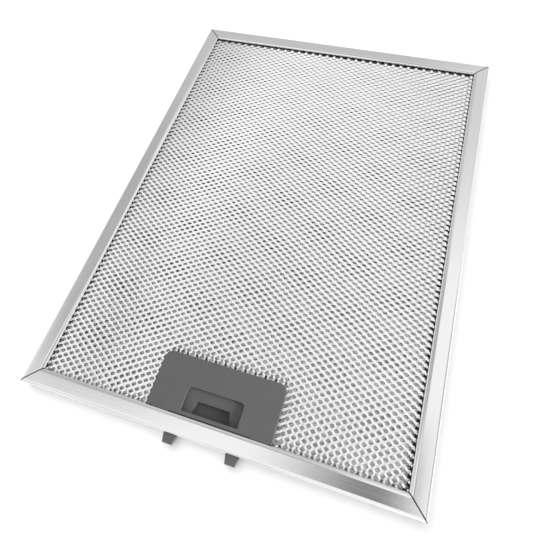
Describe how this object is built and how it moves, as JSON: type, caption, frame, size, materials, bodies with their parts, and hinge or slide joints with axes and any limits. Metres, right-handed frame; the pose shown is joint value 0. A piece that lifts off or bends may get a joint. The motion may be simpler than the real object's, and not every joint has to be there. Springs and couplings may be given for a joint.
{
  "type": "cooker hood grease filter",
  "caption": "Flat rectangular cooker hood grease filter: expanded aluminium mesh in a folded aluminium frame, with a grey spring latch whose finger slide draws in the locking pegs.",
  "frame": {"origin": "under the middle of the whole filter, pegs included, on the plane of the frame's rear flange", "axes": "+Z out of the cooking side, -Y towards the latch and pegs, +X to the right seen from the cooking side with the latch nearest"},
  "size_m": [0.25, 0.3456, 0.01],
  "materials": {
    "frame_aluminium": "satin, brushed along each rail",
    "mesh_aluminium": "bright expanded sheet",
    "latch_plastic": "matte moulded grey",
    "spring_steel": "drawn wire"
  },
  "bodies": {
    "filter": {"frame": "frame_aluminium", "front_screen": "mesh_aluminium", "rear_screen": "mesh_aluminium", "front_layer": "mesh_aluminium", "middle_layer": "mesh_aluminium", "rear_layer": "mesh_aluminium", "handle_plate": "latch_plastic", "latch_housing": "latch_plastic", "latch_spring_left": "spring_steel", "latch_spring_right": "spring_steel"},
    "latch": {"latch_slider": "latch_plastic"}
  },
  "joints": [
    {"name": "latch_slide", "type": "slide", "parent": "filter", "child": "latch", "axis": [0, 1, 0], "range_m": [0, 0.0052], "stiffness_N_per_m": 300, "springref_m": -0.008, "deforming": ["latch_spring_left", "latch_spring_right"]}
  ]
}
